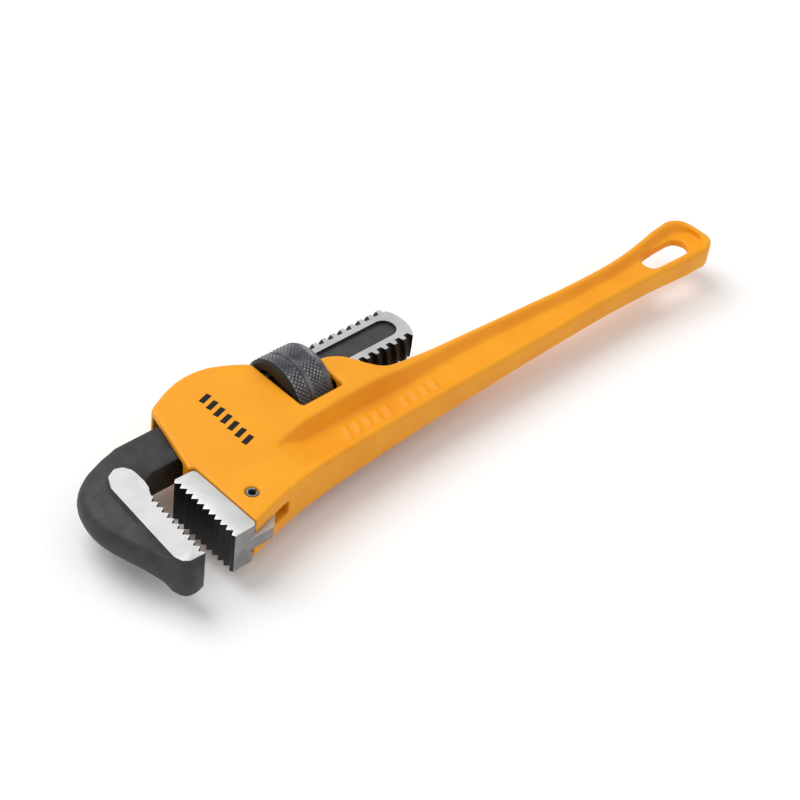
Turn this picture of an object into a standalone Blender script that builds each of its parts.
"""Adjustable pipe wrench: casting, hook jaw, knurled nut, heel jaw with its pin, and the jaw's spring set.

Sizes are in millimetres. X runs from the heel jaw's seat to the handle's end, Y from the heel jaw's pin
towards the hook jaw's shank, and Z through the thickness, with the mid-plane at 0.
"""

import math

import bmesh
import bpy
from mathutils import Vector

MM = 0.001  # metres in a millimetre
GAP = 0.35  # air between pieces that touch on the real tool

# Overall shape
HANDLE_END_X = 271.2  # end of the handle, measured from the heel jaw's seat
HEAD_HALF = 9.5  # half thickness of the housing
GRIP_HALF = 5.3  # half thickness of the handle
HUMP_TOP = 63.1  # highest point of the housing
NOSE_BOTTOM = -14.2  # lowest point of the hook jaw
HOOK_BACK_X = -42.4  # foremost point of the hook jaw

# Screw thread shared by the rack and the nut
AXIS_Y = 41.5
PITCH = 4.84
ROOT_RADIUS = 9.6
CREST_RADIUS = 11.4
CREST_WIDTH = 1.6
BASE_WIDTH = 2.7

# Hook jaw
HOOK_HALF = 8.5
PAD_FOOT = 1.2  # run of the little slope round the ground pad
SHANK_HALF = 6.1
SHANK_LOW = 32.0
SHANK_HIGH = 50.0
RACK_START_X = 42.0
SHANK_END_X = 121.6
POCKET_DEPTH = 1.5
POCKET_HALF_WIDTH = 4.9
TOOTH_PITCH = 3.3
TOOTH_DEPTH = 2.0
HOOK_TOOTH_LOW = (-22.6, -11.5)
HOOK_TOOTH_HIGH = (-20.0, 20.2)

# Adjusting nut
NUT_RADIUS = 16.0
NUT_LENGTH = 19.6
WINDOW_X = 53.1  # front edge of the nut's window
NUT_END_PLAY = 0.5

# Heel jaw
HEEL_HALF = 8.9
HEEL_TIP_X = -10.7
HEEL_LOW = -12.5
HEEL_HIGH = 22.2
TANG_HALF = 2.7
TANG_LENGTH = 13.4
TANG_RUNOUT = 7.0  # how far the milled slot runs on behind the tang, near its mouth
PIN_X = 8.7
PIN_Y = 0.9
PIN_RADIUS = 2.3
PIN_WALL = 0.75
PIN_SUNK = 0.7  # how deep the pin sits below the housing's sides

# Spring set under the shank
SPRING_X = 24.0
LEAF_HALF_LENGTH = 20.0
LEAF_THICKNESS = 0.7
LEAF_HALF_WIDTH = 4.0
LEAF_SAG = 1.1
COIL_RADIUS = 3.6
WIRE_RADIUS = 0.6
COIL_TURNS = 6
COIL_HEIGHT = 13.0
RIVET_RADIUS = 1.2
RIVET_HEAD = 0.75

# Slanted mouth of the housing, from its lip above the heel jaw to the hump
MOUTH_LOW_X = -2.0
MOUTH_TOP_X = 7.1
MOUTH_TOP_Y = 55.8

# Handle's recess and hang slot
WEB_HALF = 1.8
RIM_WIDTH = 2.6
RECESS_START_X = 28.0
RECESS_SLOPE = 3.0
SLOT_LENGTH = 26.0
SLOT_WIDTH = 9.8
SLOT_END_WALL = 10.8
SLOT_Y = 10.0

# Derived places
NUT_X = WINDOW_X + NUT_END_PLAY
NUT_MIDDLE_X = NUT_X + NUT_LENGTH / 2
WINDOW_END_X = NUT_X + NUT_LENGTH + NUT_END_PLAY
ROCK_SPACE = 1.6  # room for the jaw's free rock, on the inner side of its slot
SLOT_LOW = AXIS_Y - CREST_RADIUS - ROCK_SPACE - GAP
SLOT_HIGH = AXIS_Y + CREST_RADIUS + 1.4
SLOT_HALF = SHANK_HALF + 0.4
WINDOW_LOW = AXIS_Y - NUT_RADIUS - 1.4
SPRING_TOP = AXIS_Y - CREST_RADIUS - GAP
LEAF_HIGH = SPRING_TOP - RIVET_HEAD - GAP
LEAF_LOW = LEAF_HIGH - LEAF_THICKNESS
COIL_HIGH = LEAF_LOW - GAP
COIL_LOW = COIL_HIGH - COIL_HEIGHT
MIDDLE_X = (HOOK_BACK_X + HANDLE_END_X) / 2
MIDDLE_Y = (NOSE_BOTTOM + HUMP_TOP) / 2
NUT_PIVOT = (NUT_MIDDLE_X, AXIS_Y, 0.0)
GRIP_START_X = WINDOW_END_X + 29.3


def clear_scene():
    for item in list(bpy.data.objects):
        bpy.data.objects.remove(item, do_unlink=True)


def material(name, color, roughness, metallic):
    made = bpy.data.materials.new(name)
    made.use_nodes = True
    shader = made.node_tree.nodes["Principled BSDF"]
    shader.inputs["Base Color"].default_value = (*color, 1.0)
    shader.inputs["Roughness"].default_value = roughness
    shader.inputs["Metallic"].default_value = metallic
    made.diffuse_color = (*color, 1.0)
    return made


def world(x, y, z):
    """World position in metres of a design position in millimetres."""
    return Vector(((x - MIDDLE_X) * MM, (y - MIDDLE_Y) * MM, z * MM))


def mesh_object(name, points, faces, pivot=(MIDDLE_X, MIDDLE_Y, 0.0)):
    """A closed object from design points, with its origin on the pivot and its faces out."""
    origin = world(*pivot)
    mesh = bpy.data.meshes.new(name)
    mesh.from_pydata([world(*p) - origin for p in points], [], faces)
    shape = bmesh.new()
    shape.from_mesh(mesh)
    bmesh.ops.recalc_face_normals(shape, faces=shape.faces)
    bmesh.ops.triangulate(shape, faces=shape.faces)
    shape.to_mesh(mesh)
    shape.free()
    item = bpy.data.objects.new(name, mesh)
    item.location = origin
    bpy.context.scene.collection.objects.link(item)
    return item


def loft(name, rings, pivot=(MIDDLE_X, MIDDLE_Y, 0.0)):
    """A closed solid through rings that have the same number of points."""
    count = len(rings[0])
    points = [p for ring in rings for p in ring]
    faces = [list(range(count)), [len(points) - 1 - k for k in range(count)]]
    for row in range(len(rings) - 1):
        for k in range(count):
            low = row * count
            following = (k + 1) % count
            faces.append([low + k, low + following, low + count + following, low + count + k])
    return mesh_object(name, points, faces, pivot)


def prism(name, outline, low, high, pivot=(MIDDLE_X, MIDDLE_Y, 0.0)):
    """An outline in X and Y, extruded from one height to another."""
    return loft(name, [[(x, y, z) for x, y in outline] for z in (low, high)], pivot)


def box(name, low, high):
    (x0, y0, z0), (x1, y1, z1) = low, high
    return prism(name, [(x0, y0), (x1, y0), (x1, y1), (x0, y1)], z0, z1)


def join(target, other, operation):
    """Boolean with a hidden guide shape."""
    change = target.modifiers.new(other.name, "BOOLEAN")
    change.operation = operation
    change.solver = "EXACT"
    change.object = other
    other.hide_render = True
    other.display_type = "WIRE"


def cut(target, cutter):
    join(target, cutter, "DIFFERENCE")


def dress(item, paint, angle=35):
    item.data.materials.clear()
    item.data.materials.append(paint)
    item.data.shade_smooth()
    item.data.set_sharp_from_angle(angle=math.radians(angle))


def smooth_path(points, steps=4):
    """Points of a Catmull-Rom curve through an open run of corners."""
    ends = [points[0], *points, points[-1]]
    path = []
    for a, b, c, d in zip(ends, ends[1:], ends[2:], ends[3:]):
        for k in range(steps):
            t = k / steps
            path.append(
                tuple(
                    q + 0.5 * ((r - p) * t + (2 * p - 5 * q + 4 * r - s) * t**2 + (3 * q - p - 3 * r + s) * t**3)
                    for p, q, r, s in zip(a, b, c, d)
                )
            )
    return [*path, points[-1]]


def height_at(edge, x):
    """Smooth interpolation of an edge given as (x, value) corners."""
    if x <= edge[0][0]:
        return edge[0][1]
    if x >= edge[-1][0]:
        return edge[-1][1]
    k = max(i for i in range(len(edge) - 1) if edge[i][0] <= x)
    slopes = []
    for i in (k, k + 1):
        before, after = edge[max(i - 1, 0)], edge[min(i + 1, len(edge) - 1)]
        slopes.append((after[1] - before[1]) / (after[0] - before[0]))
    (x0, y0), (x1, y1) = edge[k], edge[k + 1]
    span = x1 - x0
    t = (x - x0) / span
    return (
        (2 * t**3 - 3 * t**2 + 1) * y0
        + (t**3 - 2 * t**2 + t) * span * slopes[0]
        + (3 * t**2 - 2 * t**3) * y1
        + (t**3 - t**2) * span * slopes[1]
    )


# Casting -----------------------------------------------------------------------------------------

WAIST_Y = 22.0  # above this height the housing has its full thickness
DRAWN_START_X = 103.0  # where the grip starts in the corner lists below
DRAWN_LENGTH = 168.2  # length of the grip in the corner lists below


def grip_edge(corners):
    """Edge corners, with the grip's part stretched to the length between the fork and the handle's end."""
    stretch = (HANDLE_END_X - GRIP_START_X) / DRAWN_LENGTH
    return [(x if x < DRAWN_START_X else GRIP_START_X + (x - DRAWN_START_X) * stretch, y) for x, y in corners]


HUMP_EDGE = [(x, HUMP_TOP - drop) for x, drop in [
    (-6, 21.1), (0, 13.6), (MOUTH_TOP_X, 7.3), (12.5, 4.5), (17.5, 2.4), (24.2, 0.5), (30.8, 0.0), (37.5, 0.9),
    (44.2, 3.6), (49.2, 6.5), (WINDOW_X, 9.3), (WINDOW_X + 4, 12.6),
]]
FORK_EDGE = [(WINDOW_END_X + run, y) for run, y in [
    (-4, 41.5), (1, 41.0), (4.6, 40.6), (8, 39.1), (11.3, 36.5), (13.4, 33.4), (17.1, 27.8), (20.5, 24.9),
    (24.3, 23.7), (29.3, 23.4),
]]
GRIP_TOP_EDGE = grip_edge([
    (118.6, 22.4), (138.7, 21.4), (168.8, 19.7), (188.9, 18.4), (209, 17.9), (224, 18.2), (239, 20.0),
    (249, 21.8), (256, 22.8), (262, 22.9),
])
LOWER_EDGE = grip_edge([
    (-6, -12.4), (2.9, -10.8), (10, -8.9), (18.5, -6.9), (29, -5.0), (44.3, -3.4), (69.6, -2.1), (95.6, -1.2),
    (128, -0.5), (155, 0.1), (199, 0.9), (229.5, 0.2), (247, -1.1), (256, -1.5), (261, -1.2),
])
THICKNESS_LOW = grip_edge([
    (-6, HEAD_HALF - 0.2), (10, HEAD_HALF - 0.4), (30, HEAD_HALF - 0.8), (50, HEAD_HALF - 1.4),
    (70, GRIP_HALF + 2.1), (96, GRIP_HALF + 1.3), (128, GRIP_HALF + 0.6), (160, GRIP_HALF), (261, GRIP_HALF),
])
THICKNESS_HIGH = grip_edge([
    (-6, HEAD_HALF), (80, HEAD_HALF), (88, HEAD_HALF - 0.4), (98, GRIP_HALF + 2.3), (112, GRIP_HALF + 1.0),
    (140, GRIP_HALF + 0.3), (170, GRIP_HALF), (261, GRIP_HALF),
])
CAP_RUN = 12.0  # the handle's end is half an ellipse that starts this far from its tip
CAP_INSET = 10.6
BEND_RADIUS = 9.2  # round end of the recess


def quarter(run, inset, last=90):
    """Places along a quarter of an ellipse, as how far they are along and how far in."""
    return [(run * math.sin(math.radians(a)), inset * (1 - math.cos(math.radians(a)))) for a in range(0, last + 1, 10)]




def casting_section(x):
    """Height of both edges and half thickness at both, at one place along the casting."""
    top_edge = HUMP_EDGE if x < WINDOW_X + 8 else FORK_EDGE + GRIP_TOP_EDGE
    return (
        height_at(LOWER_EDGE, x),
        min(height_at(top_edge, x), HUMP_TOP),
        height_at(THICKNESS_LOW, x),
        height_at(THICKNESS_HIGH, x),
    )


def section_ring(x, low, high, half_low, half_high, rounding):
    """Ring of the casting's section: flat sides that meet at a waist, and rounded edges."""
    waist = min(WAIST_Y, (low + high) / 2)
    arc = [math.radians(a) for a in (0, 30, 60, 90)]
    side = [(low + rounding * (1 - math.cos(a)), half_low - rounding * (1 - math.sin(a))) for a in arc]
    side.append((waist, half_high))
    side += [(high - rounding * (1 - math.cos(a)), half_high - rounding * (1 - math.sin(a))) for a in reversed(arc)]
    return [(x, y, z) for y, z in side] + [(x, y, -z) for y, z in reversed(side)]


def casting_blank():
    rings = []
    cap_x = HANDLE_END_X - CAP_RUN
    head = [-5 + (GRIP_START_X + 7) * k / 44 for k in range(45)]
    grip = [head[-1] + (cap_x - head[-1]) * k / 20 for k in range(1, 21)]
    for x in head + grip:
        low, high, half_low, half_high = casting_section(x)
        rounding = 1.2 + 0.8 * min(max((x - 40) / 60, 0), 1)
        rings.append(section_ring(x, low, high, half_low, half_high, rounding))
    low, high, half_low, half_high = casting_section(cap_x)
    for run, inset in quarter(CAP_RUN, CAP_INSET)[1:]:
        thinner = 2.0 * (run / CAP_RUN) ** 6
        rings.append(
            section_ring(cap_x + run, low + inset, high - inset, half_low - thinner, half_high - thinner, 0.9)
        )
    return loft("body_casting", rings)


def recess_cutter(side):
    """Trapezoid trough along one face of the handle, with a soft start and a narrowed end."""
    cap_x = HANDLE_END_X - CAP_RUN
    bend = [(cap_x + run, inset) for run, inset in quarter(BEND_RADIUS, BEND_RADIUS, 60)]
    end_x = bend[-1][0]
    floor = [
        (RECESS_START_X, HEAD_HALF + 0.3), (RECESS_START_X + 8, 7.4), (RECESS_START_X + 16, 4.2),
        (RECESS_START_X + 26, 2.7), (100, WEB_HALF + 0.2), (150, WEB_HALF), (end_x, WEB_HALF),
    ]
    top_line = [
        (RECESS_START_X, 13.0), (RECESS_START_X + 8, 15.4), (RECESS_START_X + 18, 17.6), (70, 18.4), (100, 18.6),
        *[(x, y - RIM_WIDTH) for x, y in GRIP_TOP_EDGE[1:]],
    ]
    stations = [RECESS_START_X + 4 * k for k in range(20)]
    stations += [stations[-1] + (cap_x - stations[-1]) * k / 14 for k in range(1, 15)]
    stations += [x for x, _ in bend[1:]]
    rings = []
    for x in stations:
        low_edge, _, half_low, half_high = casting_section(min(x, cap_x))
        pinch = height_at(bend, x)
        bottom = height_at(floor, x)
        low = low_edge + RIM_WIDTH + pinch
        high = height_at(top_line, x) - pinch
        low_slope = RECESS_SLOPE * max(half_low - bottom, 0.4) / (GRIP_HALF - WEB_HALF)
        high_slope = RECESS_SLOPE * max(half_high - bottom, 0.4) / (GRIP_HALF - WEB_HALF)
        low_slope, high_slope = min(low_slope, 4.0), min(high_slope, 4.2)
        rise = 2.0
        ring = [
            (x, low - low_slope * rise / max(half_low - bottom, 0.4), half_low + rise),
            (x, low + low_slope, bottom),
            (x, high - high_slope, bottom),
            (x, high + high_slope * rise / max(half_high - bottom, 0.4), half_high + rise),
        ]
        rings.append([(px, py, side * pz) for px, py, pz in ring])
    return loft("recess_cutter", rings)


def stadium(x0, x1, middle_y, radius, steps=12):
    """Outline of a slot with round ends, from x0 to x1 overall."""
    ends = []
    for middle_x, start in ((x1 - radius, -90), (x0 + radius, 90)):
        for k in range(steps + 1):
            a = math.radians(start + 180 * k / steps)
            ends.append((middle_x + radius * math.cos(a), middle_y + radius * math.sin(a)))
    return ends


def disc(x, y, radius, steps=32):
    turn = 2 * math.pi / steps
    return [(x + radius * math.cos(turn * k), y + radius * math.sin(turn * k)) for k in range(steps)]


def casting(paint):
    body = casting_blank()
    through = HEAD_HALF + 6
    seat_top = HEEL_HIGH + GAP + 0.3
    lean = (MOUTH_TOP_X - MOUTH_LOW_X) / (MOUTH_TOP_Y - seat_top)
    mouth = [(-30, seat_top - 3), (MOUTH_LOW_X - 3 * lean, seat_top - 3),
             (MOUTH_TOP_X + 34 * lean, MOUTH_TOP_Y + 34), (-30, MOUTH_TOP_Y + 34)]
    cut(body, prism("mouth_cutter", mouth, -through, through))
    cut(body, box("seat_cutter", (-30, -40, -through), (GAP, seat_top, through)))
    cut(body, box("shank_slot_cutter", (-20, SLOT_LOW, -SLOT_HALF), (WINDOW_X + 2, SLOT_HIGH, SLOT_HALF)))
    cut(body, box("window_cutter", (WINDOW_X, WINDOW_LOW, -through), (WINDOW_END_X, 90, through)))
    cut(body, box("fork_cutter", (WINDOW_END_X - 2, SLOT_LOW, -SLOT_HALF), (130, 90, SLOT_HALF)))
    tang_gap = TANG_HALF + GAP
    cut(body, box("tang_slot_cutter", (-5, -40, -tang_gap), (TANG_LENGTH + 2.4, HEEL_HIGH + GAP, tang_gap)))
    cut(body, box("runout_cutter", (TANG_LENGTH - 2, -40, -tang_gap), (TANG_LENGTH + TANG_RUNOUT, -2, tang_gap)))
    cut(body, prism("pin_hole_cutter", disc(PIN_X, PIN_Y, PIN_RADIUS + GAP), -through, through))
    leaf_room = LEAF_HALF_WIDTH + 0.6
    cut(body, box("leaf_channel_cutter", (SPRING_X - 18, LEAF_LOW - ROCK_SPACE, -leaf_room),
                  (SPRING_X + 27, SLOT_LOW + 2, leaf_room)))
    cut(body, turned("coil_pocket_cutter", [(0, COIL_LOW - GAP), (COIL_RADIUS + WIRE_RADIUS + 0.4, COIL_LOW - GAP),
                                            (COIL_RADIUS + WIRE_RADIUS + 0.4, SLOT_LOW + 1), (0, SLOT_LOW + 1)]))
    for side in (1, -1):
        cut(body, recess_cutter(side))
    slot_end = HANDLE_END_X - SLOT_END_WALL
    cut(body, prism("hang_slot_cutter", stadium(slot_end - SLOT_LENGTH, slot_end, SLOT_Y, SLOT_WIDTH / 2),
                    -through, through))
    dress(body, paint)
    return body


# Turned, threaded and sprung shapes ---------------------------------------------------------------


def turned(name, profile, steps=32):
    """A profile of (radius, y) turned about the spring set's own axis."""
    points, faces = [], []
    for radius, y in profile:
        for k in range(steps):
            a = 2 * math.pi * k / steps
            points.append((SPRING_X + radius * math.cos(a), y, radius * math.sin(a)))
    for row in range(len(profile) - 1):
        for k in range(steps):
            low, after = row * steps, (k + 1) % steps
            faces.append([low + k, low + after, low + steps + after, low + steps + k])
    item = mesh_object(name, points, faces, NUT_PIVOT)
    shape = bmesh.new()
    shape.from_mesh(item.data)
    bmesh.ops.remove_doubles(shape, verts=shape.verts, dist=0.00001)
    bmesh.ops.recalc_face_normals(shape, faces=shape.faces)
    shape.to_mesh(item.data)
    shape.free()
    return item


def screw(name, start_x, end_x, root, crest, base_width, crest_width, steps=36):
    """Single-start screw about the nut's axis. Its ridges pass through the same places at any length."""
    flank = (base_width - crest_width) / 2
    corners = [
        (-base_width / 2, root), (-base_width / 2 + flank, crest), (base_width / 2 - flank, crest),
        (base_width / 2, root),
    ]
    first = math.floor((start_x - NUT_MIDDLE_X) / PITCH)
    turns = math.ceil((end_x - start_x) / PITCH) + 1
    per_row = 4 * turns + 4
    points = []
    for k in range(steps):
        a = 2 * math.pi * k / steps
        for j in range(per_row):
            offset, radius = corners[j % 4]
            x = NUT_MIDDLE_X + PITCH * (first + j // 4 + k / steps) + offset
            points.append((x, AXIS_Y + radius * math.cos(a), radius * math.sin(a)))
    faces = []
    for k in range(steps):
        for j in range(per_row - 1):
            if k < steps - 1:
                faces.append([k * per_row + j, k * per_row + j + 1, (k + 1) * per_row + j + 1, (k + 1) * per_row + j])
            elif j + 5 < per_row:
                faces.append([k * per_row + j, k * per_row + j + 1, j + 5, j + 4])
    last = (steps - 1) * per_row + per_row - 1
    near = [k * per_row for k in range(steps)] + [4, 3, 2, 1]
    far = [k * per_row + per_row - 1 for k in range(steps)]
    far += [last - 1, last - 2, last - 3, last - 4]
    near_hub, far_hub = len(points), len(points) + 1
    points.append((NUT_MIDDLE_X + PITCH * (first - 0.5), AXIS_Y, 0.0))
    points.append((NUT_MIDDLE_X + PITCH * (first + turns + 1.5), AXIS_Y, 0.0))
    for loop, hub in ((near, near_hub), (far, far_hub)):
        for k in range(len(loop)):
            faces.append([loop[k], loop[(k + 1) % len(loop)], hub])
    return mesh_object(name, points, faces)


def nut_ring():
    """Ring with rounded rims and a plain groove between its two grip bands."""
    far_rim = 3.3
    bands = [
        (0, ROOT_RADIUS - 1), (0, NUT_RADIUS - 1.4), (1.2, NUT_RADIUS), (7.6, NUT_RADIUS), (7.9, NUT_RADIUS - 0.4),
        (9.3, NUT_RADIUS - 0.4), (9.6, NUT_RADIUS), (NUT_LENGTH - far_rim, NUT_RADIUS),
    ]
    for a in (25, 50, 75):
        bands.append((NUT_LENGTH - far_rim * (1 - math.sin(math.radians(a))),
                      NUT_RADIUS - far_rim * (1 - math.cos(math.radians(a)))))
    bands.append((NUT_LENGTH, NUT_RADIUS - far_rim + 0.2))
    bands.append((NUT_LENGTH, ROOT_RADIUS - 1))
    steps = 72
    points, faces = [], []
    for along, radius in bands:
        for k in range(steps):
            a = 2 * math.pi * k / steps
            points.append((NUT_X + along, AXIS_Y + radius * math.cos(a), radius * math.sin(a)))
    for row in range(len(bands)):
        following = (row + 1) % len(bands)
        for k in range(steps):
            after = (k + 1) % steps
            faces.append([row * steps + k, row * steps + after, following * steps + after, following * steps + k])
    return mesh_object("adjusting_nut", points, faces, NUT_PIVOT)


def adjusting_nut(steel):
    nut = nut_ring()
    thread = screw("nut_thread_cutter", NUT_X - 8, NUT_X + NUT_LENGTH + 8, ROOT_RADIUS + GAP, CREST_RADIUS + GAP,
                   BASE_WIDTH + 0.6, CREST_WIDTH + 0.6, 48)
    cut(nut, thread)
    dress(nut, steel)
    return nut


def coil_spring(steel):
    """Round wire wound with closed end turns."""
    rise = COIL_HEIGHT - 2 * WIRE_RADIUS
    steps, around = 22, 8
    count = COIL_TURNS * steps
    rings = []
    for k in range(count + 1):
        t = k / count
        ease = t - 0.10 * math.sin(2 * math.pi * t) / 2
        y = COIL_LOW + WIRE_RADIUS + rise * ease
        a = 2 * math.pi * k / steps
        ring = []
        for j in range(around):
            b = 2 * math.pi * j / around
            radius = COIL_RADIUS + WIRE_RADIUS * math.cos(b)
            ring.append((SPRING_X + radius * math.cos(a), y + WIRE_RADIUS * math.sin(b), radius * math.sin(a)))
        rings.append(ring)
    coil = loft("coil_spring", rings)
    dress(coil, steel, 60)
    return coil


def flat_spring(steel):
    """Arched leaf whose ends touch the shank, with a hole for the rivet."""
    middle_x = SPRING_X + 5
    count = 16
    upper, lower = [], []
    for k in range(count + 1):
        along = LEAF_HALF_LENGTH * (2 * k / count - 1)
        lift = LEAF_SAG * (along / LEAF_HALF_LENGTH) ** 2
        upper.append((middle_x + along, LEAF_HIGH + lift))
        lower.append((middle_x + along, LEAF_LOW + lift))
    leaf = prism("flat_spring", lower + upper[::-1], -LEAF_HALF_WIDTH, LEAF_HALF_WIDTH, NUT_PIVOT)
    hole = RIVET_RADIUS + GAP
    cut(leaf, turned("rivet_hole_cutter", [(0, LEAF_LOW - 2), (hole, LEAF_LOW - 2), (hole, LEAF_HIGH + 2),
                                           (0, LEAF_HIGH + 2)], 20))
    dress(leaf, steel)
    return leaf


def spring_rivet(steel):
    head, flange = 2.6, COIL_RADIUS - WIRE_RADIUS - 0.6
    flange_high = COIL_HIGH - 2.0
    rivet = turned("spring_rivet", [
        (0, SPRING_TOP), (head - 0.4, SPRING_TOP), (head, SPRING_TOP - 0.25), (head, SPRING_TOP - RIVET_HEAD),
        (RIVET_RADIUS, SPRING_TOP - RIVET_HEAD), (RIVET_RADIUS, flange_high), (flange, flange_high),
        (flange, flange_high - 0.8), (0, flange_high - 0.8),
    ], 20)
    dress(rivet, steel)
    return rivet


# Jaws --------------------------------------------------------------------------------------------

def saw_edge(start, end, lean):
    """Tooth outline from start to end: tips on the line, roots behind it, on the side that lean points to."""
    length = math.dist(start, end)
    count = round(length / TOOTH_PITCH)
    along = ((end[0] - start[0]) / length, (end[1] - start[1]) / length)
    behind = (-along[1] * lean, along[0] * lean)
    step = length / count
    points = [start]
    for k in range(count):
        root = step * (k + 0.55)
        points.append((start[0] + along[0] * root + behind[0] * TOOTH_DEPTH,
                       start[1] + along[1] * root + behind[1] * TOOTH_DEPTH))
        tip = step * (k + 1)
        points.append((start[0] + along[0] * tip, start[1] + along[1] * tip))
    return points


def rounded_plate(name, outline, half, rounding):
    """Plate from counter-clockwise (x, y, softness) corners. Soft corners get rounded rims, hard ones stay square."""
    count = len(outline)
    inward = []
    for k in range(count):
        (x0, y0, _), (x1, y1, _) = outline[k - 1], outline[(k + 1) % count]
        length = math.dist((x0, y0), (x1, y1))
        inward.append((-(y1 - y0) / length, (x1 - x0) / length))
    arc = [math.radians(a) for a in (0, 30, 60, 90)]
    rim = [(half - rounding * (1 - math.sin(a)), rounding * (1 - math.cos(a))) for a in arc]
    levels = [(-z, inset) for z, inset in reversed(rim)] + rim
    rings = []
    for z, inset in levels:
        rings.append([
            (x + nx * inset * soft, y + ny * inset * soft, z) for (x, y, soft), (nx, ny) in zip(outline, inward)
        ])
    return loft(name, rings)


PAD_BORDER = [
    (-23.2, -11.8), (-20.3, 21.2), (-18.4, 24.9), (-17.6, 28.5), (-17.4, 35.0), (-19.3, 38.4), (-22.4, 39.5),
    (-26.4, 37.6), (-29.1, 32.4), (-30.6, 15.4), (-32.1, -1.6), (-32.5, -6.8), (-31.6, -9.8), (-29.3, -11.5),
]
PAD_SPINE = ((-28.0, -7.0), (-22.5, 33.0))


def nearest_on_spine(x, y):
    (x0, y0), (x1, y1) = PAD_SPINE
    run_x, run_y = x1 - x0, y1 - y0
    t = ((x - x0) * run_x + (y - y0) * run_y) / (run_x**2 + run_y**2)
    t = min(max(t, 0), 1)
    return x0 + run_x * t, y0 + run_y * t


def onto_pad(x, y):
    """Place on the pad's border, seen from the spine in the direction of an outline corner."""
    px, py = nearest_on_spine(x, y)
    run_x, run_y = x - px, y - py
    for (x0, y0), (x1, y1) in zip(PAD_BORDER, PAD_BORDER[1:] + PAD_BORDER[:1]):
        side_x, side_y = x1 - x0, y1 - y0
        across = run_x * side_y - run_y * side_x
        if abs(across) < 1e-9:
            continue
        t = ((x0 - px) * side_y - (y0 - py) * side_x) / across
        along = ((x0 - px) * run_y - (y0 - py) * run_x) / across
        if t > 0 and 0 <= along <= 1:
            return px + run_x * t, py + run_y * t
    return x, y


def towards(start, end, distance):
    length = math.dist(start, end)
    t = distance / max(length, distance, 1e-9)
    return start[0] + (end[0] - start[0]) * t, start[1] + (end[1] - start[1]) * t


def hook_outline():
    """Counter-clockwise corners of the hook at its mid-plane, as (x, y, run of its rounded flank, height of that).

    They start at the lowest tooth and run round the throat, the neck that the shank hides, the back and the nose.
    """
    tooth_height = HOOK_HALF - 0.5
    teeth = [(x, y, 0.0, tooth_height) for x, y in saw_edge(HOOK_TOOTH_LOW, HOOK_TOOTH_HIGH, 1)]
    throat = smooth_path([
        (-20.3, 21.2, 0.1, tooth_height), (-18.6, 24.9, 0.2, 7.8), (-16.6, 28.4, 0.5, 6.6), (-12.6, 31.2, 0.8, 6.0),
        (-10.0, SHANK_LOW, 1.0, 5.8),
    ], 3)
    neck = [
        (-8.0, SHANK_LOW + 2, 1.0, 5.7), (-7.0, SHANK_LOW + 9, 1.0, 5.7), (-8.0, SHANK_HIGH - 2, 1.0, 5.7),
        (-10.0, SHANK_HIGH - 0.4, 1.0, 5.7),
    ]
    back = smooth_path([
        (-14.0, SHANK_HIGH - 0.1, 0.6, 6.0), (-21.2, 49.1, 1.4, 5.9), (-30.2, 46.6, 2.8, 5.6), (-37.2, 41.3, 3.2, 5.6),
        (-40.9, 34.2, 3.2, 5.6), (HOOK_BACK_X, 26.0, 3.2, 5.6), (-41.9, 19.1, 3.2, 5.6), (-40.2, 12.7, 3.2, 5.6),
        (-37.5, 4.3, 3.0, 5.9), (-35.2, -2.6, 2.4, 6.6), (-33.9, -8.2, 1.4, 7.6),
    ], 4)
    nose = smooth_path([
        (-33.1, -11.2, 1.3, 7.8), (-31.2, -13.4, 1.5, 7.9), (-28.2, NOSE_BOTTOM, 1.6, 7.9),
        (-25.2, -13.5, 1.2, tooth_height), (-23.3, -12.3, 0.4, tooth_height),
    ], 3)
    return teeth + throat + neck + back + nose


def hook_blank():
    """Forging with rounded flanks, broad sides that rise to the ground pad, and a flat pad on both sides."""
    outline = []
    for x, y, run, height in hook_outline():
        outline.append((max(x, HOOK_BACK_X), max(y, NOSE_BOTTOM), run, height))
    half_rings = []
    for a in (0, 22, 44, 66, 90):
        lean, lift = 1 - math.cos(math.radians(a)), math.sin(math.radians(a))
        ring = []
        for x, y, run, height in outline:
            near = towards((x, y), nearest_on_spine(x, y), run * lean)
            ring.append((*near, height * lift))
        half_rings.append(ring)
    foot, pad = [], []
    for (x, y, run, height), (edge_x, edge_y, _) in zip(outline, half_rings[-1]):
        border = (x, y) if run < 0.15 else onto_pad(x, y)
        reach = min(PAD_FOOT, 0.5 * math.dist(border, (edge_x, edge_y)))
        foot.append((*towards(border, (edge_x, edge_y), reach), (height + HOOK_HALF) / 2))
        pad.append((*border, HOOK_HALF))
    half_rings += [foot, pad]
    lower = [[(x, y, -z) for x, y, z in ring] for ring in reversed(half_rings[1:])]
    return loft("hook_jaw", lower + half_rings)


def rack_end(half_height, steps=14):
    """Rounded end of the shank, from its lower to its upper side."""
    run = 10.0
    points = []
    for k in range(steps + 1):
        a = math.radians(-90 + 180 * k / steps)
        points.append((SHANK_END_X - run + run * math.cos(a), AXIS_Y + half_height * math.sin(a)))
    return points


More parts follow.
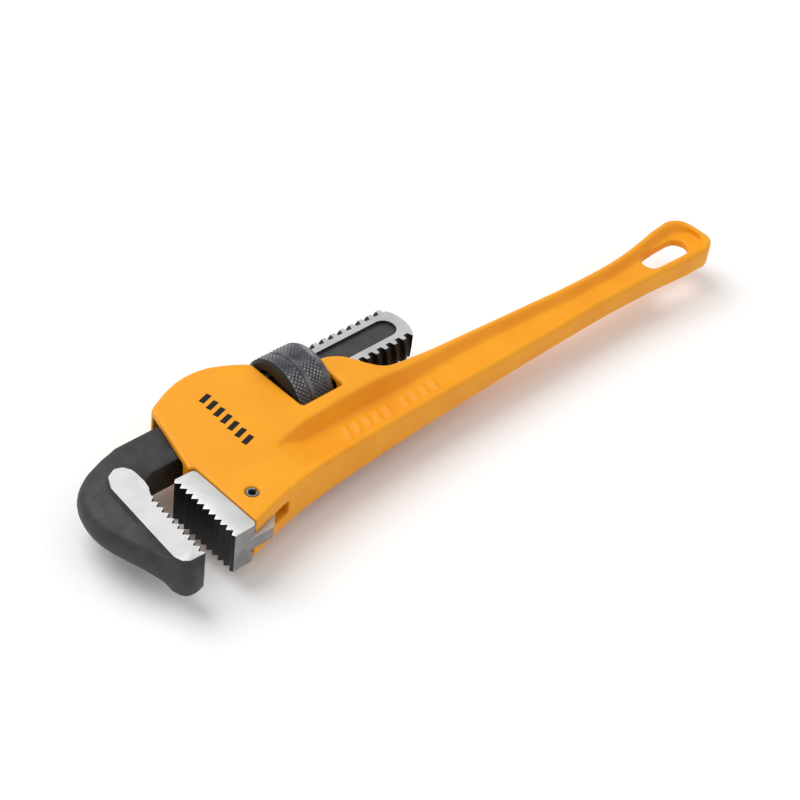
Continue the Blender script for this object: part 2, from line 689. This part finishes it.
def hook_jaw(steel):
    """Forged hook with teeth, plain shank, and a rack cut from the shared screw."""
    jaw = hook_blank()
    shank = [
        (-12, SHANK_LOW, 0.5), (RACK_START_X + 2, SHANK_LOW, 0.5), (RACK_START_X + 2, SHANK_HIGH, 0.5),
        (-14, SHANK_HIGH, 0.5), (-19, SHANK_HIGH - 1.5, 0.5), (-19, SHANK_LOW + 8, 0.0),
    ]
    join(jaw, rounded_plate("shank_guide", shank, SHANK_HALF, 1.0), "UNION")
    rack = screw("rack_guide", RACK_START_X - 2, SHANK_END_X + 6, ROOT_RADIUS, CREST_RADIUS, BASE_WIDTH, CREST_WIDTH)
    tall = CREST_RADIUS + 1.5
    slab = [(RACK_START_X, AXIS_Y - tall), *rack_end(tall), (RACK_START_X, AXIS_Y + tall)]
    join(rack, prism("rack_slab_guide", slab, -SHANK_HALF + 0.1, SHANK_HALF - 0.1), "INTERSECT")
    join(jaw, rack, "UNION")
    pocket = stadium(RACK_START_X + 5, SHANK_END_X - 5, AXIS_Y, POCKET_HALF_WIDTH)
    for side in (1, -1):
        near, far = side * (SHANK_HALF - POCKET_DEPTH), side * (SHANK_HALF + 4)
        cut(jaw, prism("pocket_cutter", pocket, min(near, far), max(near, far)))
    dress(jaw, steel)
    return jaw


def heel_jaw(steel):
    """Toothed block with a V notch behind its face on each side, and a tang for the pin."""
    teeth = saw_edge((HEEL_TIP_X + 0.4, HEEL_HIGH - 1.4), (HEEL_TIP_X, HEEL_LOW + 1.5), 1)
    back_round = 2.2
    outline = [(HEEL_TIP_X + 1.8, HEEL_HIGH, 0.0), *[(x, y, 0.0) for x, y in teeth], (HEEL_TIP_X + 0.6, HEEL_LOW, 0.0)]
    for middle_y, start in ((HEEL_LOW + back_round, -90), (HEEL_HIGH - back_round, 0)):
        for k in range(5):
            a = math.radians(start + 22.5 * k)
            outline.append((-back_round + back_round * math.cos(a), middle_y + back_round * math.sin(a), 1.0))
    jaw = rounded_plate("heel_jaw", outline, HEEL_HALF, 0.4)
    tang = [
        (-6, HEEL_LOW + 0.05), (TANG_LENGTH - 5.5, HEEL_LOW + 0.05), (TANG_LENGTH, HEEL_LOW + 5.5),
        (TANG_LENGTH, HEEL_HIGH - 3), (TANG_LENGTH - 2, HEEL_HIGH - 0.4), (-6, HEEL_HIGH - 0.4),
    ]
    join(jaw, prism("tang_guide", tang, -TANG_HALF, TANG_HALF), "UNION")
    for side in (1, -1):
        notch = [(-3.0, TANG_HALF + 0.5), (3.0, TANG_HALF), (3.0, TANG_HALF + 2.9), (0.3, TANG_HALF + 2.9)]
        ring = [[(x, y, side * z) for x, z in notch] for y in (HEEL_LOW - 5, HEEL_HIGH + 5)]
        cut(jaw, loft("notch_cutter", ring))
    cut(jaw, prism("heel_hole_cutter", disc(PIN_X, PIN_Y, PIN_RADIUS + GAP), -TANG_HALF - 3, TANG_HALF + 3))
    dress(jaw, steel)
    return jaw


def heel_jaw_pin(steel):
    """Slotted spring pin: a C-shaped tube across the housing."""
    slit = math.radians(16)
    steps = 28
    outer, inner = [], []
    for k in range(steps + 1):
        a = slit + (2 * math.pi - 2 * slit) * k / steps
        outer.append((PIN_X + PIN_RADIUS * math.cos(a), PIN_Y + PIN_RADIUS * math.sin(a)))
        inner.append((PIN_X + (PIN_RADIUS - PIN_WALL) * math.cos(a), PIN_Y + (PIN_RADIUS - PIN_WALL) * math.sin(a)))
    pin = prism("heel_jaw_pin", outer + inner[::-1], PIN_SUNK - HEAD_HALF, HEAD_HALF - PIN_SUNK)
    dress(pin, steel)
    return pin


def main():
    clear_scene()
    paint = material("yellow_paint", (0.955, 0.434, 0.030), 0.42, 0.0)
    forged = material("dark_forged_steel", (0.068, 0.068, 0.070), 0.45, 0.6)
    nut_steel = material("dark_nut_steel", (0.048, 0.048, 0.054), 0.5, 0.6)
    bright = material("bright_steel", (0.66, 0.66, 0.66), 0.35, 0.9)
    spring = material("spring_steel", (0.30, 0.30, 0.31), 0.35, 0.9)
    casting(paint)
    hook_jaw(forged)
    adjusting_nut(nut_steel)
    heel_jaw(bright)
    heel_jaw_pin(spring)
    coil_spring(spring)
    flat_spring(spring)
    spring_rivet(spring)


main()
